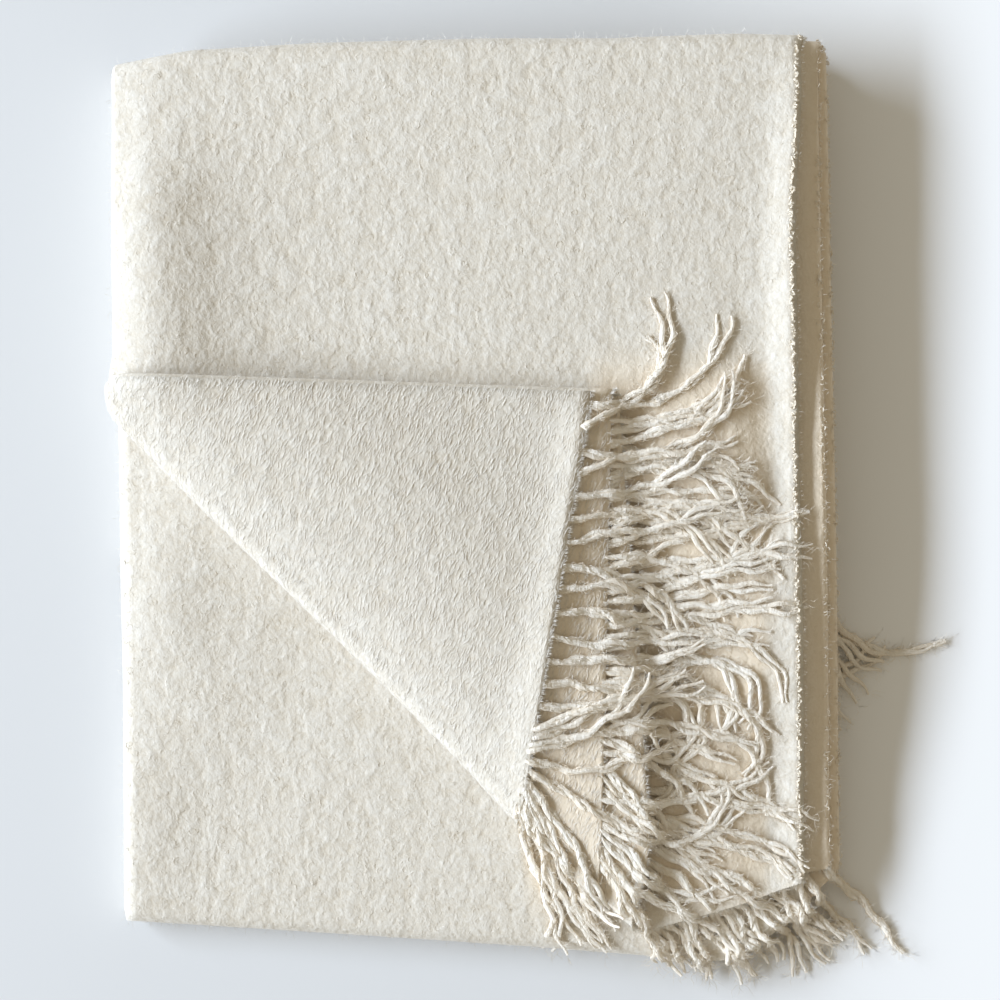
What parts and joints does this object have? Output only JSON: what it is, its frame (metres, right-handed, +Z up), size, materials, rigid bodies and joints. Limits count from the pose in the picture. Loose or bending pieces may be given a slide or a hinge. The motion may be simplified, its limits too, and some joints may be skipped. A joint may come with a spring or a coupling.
{
  "type": "boucle throw",
  "caption": "Woven boucle throw folded into a flat stack of soft layers, one corner turned back over a diagonal to show its brushed face, with twisted fringe on its ends.",
  "frame": {"origin": "on the surface that the throw lies on, under the middle of the folded stack", "axes": "+Z up, +X across the folded stack, +Y from its near edge to its far edge"},
  "size_m": [0.5571, 0.6122, 0.0613],
  "materials": {
    "boucle": "matte cream wool with small curls on one face and a brushed nap on the other",
    "fringe": "matte cream wool yarn, loosely twisted and hairy"
  },
  "bodies": {
    "root": {"cloth": "boucle", "fringe_far_end": "fringe", "fringe_flat_low": "fringe", "fringe_flat_top": "fringe", "fringe_flap_low": "fringe", "fringe_flap_middle": "fringe", "fringe_flap_top": "fringe"}
  },
  "joints": []
}
